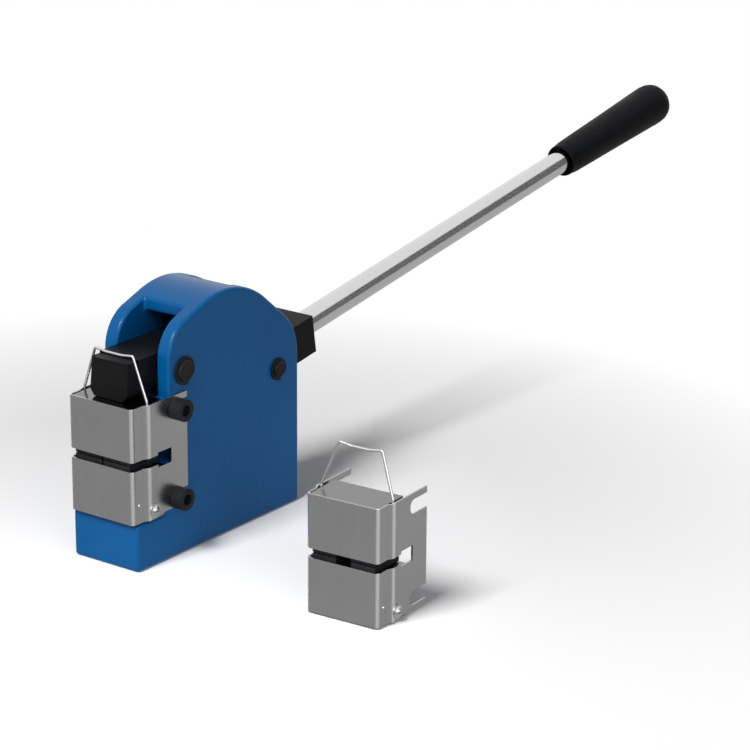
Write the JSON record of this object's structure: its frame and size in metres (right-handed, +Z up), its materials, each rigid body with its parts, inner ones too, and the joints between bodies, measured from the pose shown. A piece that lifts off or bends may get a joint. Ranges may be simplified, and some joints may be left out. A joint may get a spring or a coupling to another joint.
{
  "type": "sheet metal shrinker stretcher",
  "caption": "Bench shrinker stretcher: cast body with rocker and long hand lever, boxed stretcher jaw set mounted, shrinker jaw set beside it.",
  "frame": {"origin": "centre of the body's underside, which stands on the bench", "axes": "+X across the jaws towards the spare set, the jaws face -Y, the hand lever reaches to +Y, +Z up"},
  "size_m": [0.2694, 0.7398, 0.2166],
  "materials": {
    "blue_paint": "gloss",
    "black_steel": "satin",
    "black_oxide": "satin",
    "stainless": "brushed",
    "polished_bar": "polished",
    "bright_steel": "polished",
    "block_steel": "ground",
    "die_steel": "hardened",
    "bronze": "satin",
    "grip_rubber": "matte"
  },
  "bodies": {
    "frame": {"body_casting": "blue_paint", "front_pivot_pin": "black_oxide", "rear_pivot_pin": "black_oxide", "front_pin_rings": "black_oxide", "rear_pin_rings": "black_oxide", "clamp_screws": "black_oxide", "stretcher_housing": "stainless", "stretcher_housing_screws": "bright_steel", "stretcher_housing_washers": "bright_steel", "stretcher_locating_pins": "bright_steel", "stretcher_lower_block": "block_steel", "stretcher_lower_keeper_pins": "bright_steel", "stretcher_lower_springs": "bright_steel"},
    "hand_lever": {"lever_head": "black_steel", "lever_bush": "bronze", "lever_set_screw": "black_oxide", "lever_bar": "polished_bar", "lever_grip": "grip_rubber"},
    "rocker": {"rocker_arm": "black_steel", "rocker_bush": "bronze"},
    "stretcher_upper_jaw": {"stretcher_upper_block": "block_steel", "stretcher_upper_keeper_pins": "bright_steel", "stretcher_upper_springs": "bright_steel"},
    "stretcher_bail_wire": {"stretcher_bail": "bright_steel"},
    "shrinker_set": {"shrinker_housing": "stainless", "shrinker_housing_screws": "bright_steel", "shrinker_housing_washers": "bright_steel", "shrinker_locating_pins": "bright_steel", "shrinker_lower_block": "block_steel", "shrinker_lower_keeper_pins": "bright_steel", "shrinker_lower_springs": "bright_steel"},
    "shrinker_upper_jaw": {"shrinker_upper_block": "block_steel", "shrinker_upper_keeper_pins": "bright_steel", "shrinker_upper_springs": "bright_steel"},
    "shrinker_bail_wire": {"shrinker_bail": "bright_steel"},
    "stretcher_lower_right_jaw_die": {"stretcher_lower_right_die": "die_steel"},
    "stretcher_lower_left_jaw_die": {"stretcher_lower_left_die": "die_steel"},
    "stretcher_upper_right_jaw_die": {"stretcher_upper_right_die": "die_steel"},
    "stretcher_upper_left_jaw_die": {"stretcher_upper_left_die": "die_steel"},
    "shrinker_lower_right_jaw_die": {"shrinker_lower_right_die": "die_steel"},
    "shrinker_lower_left_jaw_die": {"shrinker_lower_left_die": "die_steel"},
    "shrinker_upper_right_jaw_die": {"shrinker_upper_right_die": "die_steel"},
    "shrinker_upper_left_jaw_die": {"shrinker_upper_left_die": "die_steel"}
  },
  "joints": [
    {"name": "lever_swing", "type": "hinge", "parent": "frame", "child": "hand_lever", "pos_m": [0, 0.0667, 0.10982], "axis": [1, 0, 0], "range_deg": [0, 35]},
    {"name": "rocker_swing", "type": "hinge", "parent": "frame", "child": "rocker", "pos_m": [0, -0.0393, 0.1366], "axis": [1, 0, 0], "range_deg": [-9.62, 0]},
    {"name": "stretcher_jaw_lift", "type": "slide", "parent": "frame", "child": "stretcher_upper_jaw", "axis": [0, 0, 1], "range_m": [0, 0.00561]},
    {"name": "stretcher_bail_lean", "type": "hinge", "parent": "stretcher_upper_jaw", "child": "stretcher_bail_wire", "pos_m": [0, -0.0777, 0.1163], "axis": [1, 0, 0], "range_deg": [-6, 8]},
    {"name": "shrinker_set_lift", "type": "slide", "parent": "frame", "child": "shrinker_set", "axis": [0, 0, 1], "range_m": [0, 0.06]},
    {"name": "shrinker_jaw_lift", "type": "slide", "parent": "shrinker_set", "child": "shrinker_upper_jaw", "axis": [0, 0, 1], "range_m": [0, 0.0056]},
    {"name": "shrinker_bail_lean", "type": "hinge", "parent": "shrinker_upper_jaw", "child": "shrinker_bail_wire", "pos_m": [0.19344, -0.05523, 0.0813], "axis": [0.9981, 0.061, 0], "range_deg": [-6, 16]},
    {"name": "stretcher_lower_right_slide", "type": "slide", "parent": "frame", "child": "stretcher_lower_right_jaw_die", "axis": [0.9781, 0, -0.2079], "range_m": [0, 0.0015], "stiffness_N_per_m": 900, "springref_m": -0.001, "deforming": ["stretcher_lower_springs"]},
    {"name": "stretcher_lower_left_slide", "type": "slide", "parent": "frame", "child": "stretcher_lower_left_jaw_die", "axis": [-0.9781, 0, -0.2079], "range_m": [0, 0.0015], "stiffness_N_per_m": 900, "springref_m": -0.001, "deforming": ["stretcher_lower_springs"]},
    {"name": "stretcher_upper_right_slide", "type": "slide", "parent": "stretcher_upper_jaw", "child": "stretcher_upper_right_jaw_die", "axis": [0.9781, 0, 0.2079], "range_m": [0, 0.0015], "stiffness_N_per_m": 900, "springref_m": -0.001, "deforming": ["stretcher_upper_springs"]},
    {"name": "stretcher_upper_left_slide", "type": "slide", "parent": "stretcher_upper_jaw", "child": "stretcher_upper_left_jaw_die", "axis": [-0.9781, 0, 0.2079], "range_m": [0, 0.0015], "stiffness_N_per_m": 900, "springref_m": -0.001, "deforming": ["stretcher_upper_springs"]},
    {"name": "shrinker_lower_right_slide", "type": "slide", "parent": "shrinker_set", "child": "shrinker_lower_right_jaw_die", "axis": [-0.9763, -0.0597, -0.2079], "range_m": [0, 0.0015], "stiffness_N_per_m": 900, "springref_m": -0.001, "deforming": ["shrinker_lower_springs"]},
    {"name": "shrinker_lower_left_slide", "type": "slide", "parent": "shrinker_set", "child": "shrinker_lower_left_jaw_die", "axis": [0.9763, 0.0597, -0.2079], "range_m": [0, 0.0015], "stiffness_N_per_m": 900, "springref_m": -0.001, "deforming": ["shrinker_lower_springs"]},
    {"name": "shrinker_upper_right_slide", "type": "slide", "parent": "shrinker_upper_jaw", "child": "shrinker_upper_right_jaw_die", "axis": [-0.9763, -0.0597, 0.2079], "range_m": [0, 0.0015], "stiffness_N_per_m": 900, "springref_m": -0.001, "deforming": ["shrinker_upper_springs"]},
    {"name": "shrinker_upper_left_slide", "type": "slide", "parent": "shrinker_upper_jaw", "child": "shrinker_upper_left_jaw_die", "axis": [0.9763, 0.0597, 0.2079], "range_m": [0, 0.0015], "stiffness_N_per_m": 900, "springref_m": -0.001, "deforming": ["shrinker_upper_springs"]}
  ],
  "couplings": [
    {"joint": "rocker_swing", "follows": "lever_swing", "ratio": -0.2743},
    {"joint": "stretcher_jaw_lift", "follows": "lever_swing", "m_per_rad": 0.009167},
    {"joint": "stretcher_lower_left_slide", "follows": "stretcher_lower_right_slide", "ratio": 1},
    {"joint": "stretcher_upper_right_slide", "follows": "stretcher_lower_right_slide", "ratio": 1},
    {"joint": "stretcher_upper_left_slide", "follows": "stretcher_lower_right_slide", "ratio": 1},
    {"joint": "shrinker_lower_left_slide", "follows": "shrinker_lower_right_slide", "ratio": 1},
    {"joint": "shrinker_upper_right_slide", "follows": "shrinker_lower_right_slide", "ratio": 1},
    {"joint": "shrinker_upper_left_slide", "follows": "shrinker_lower_right_slide", "ratio": 1}
  ]
}
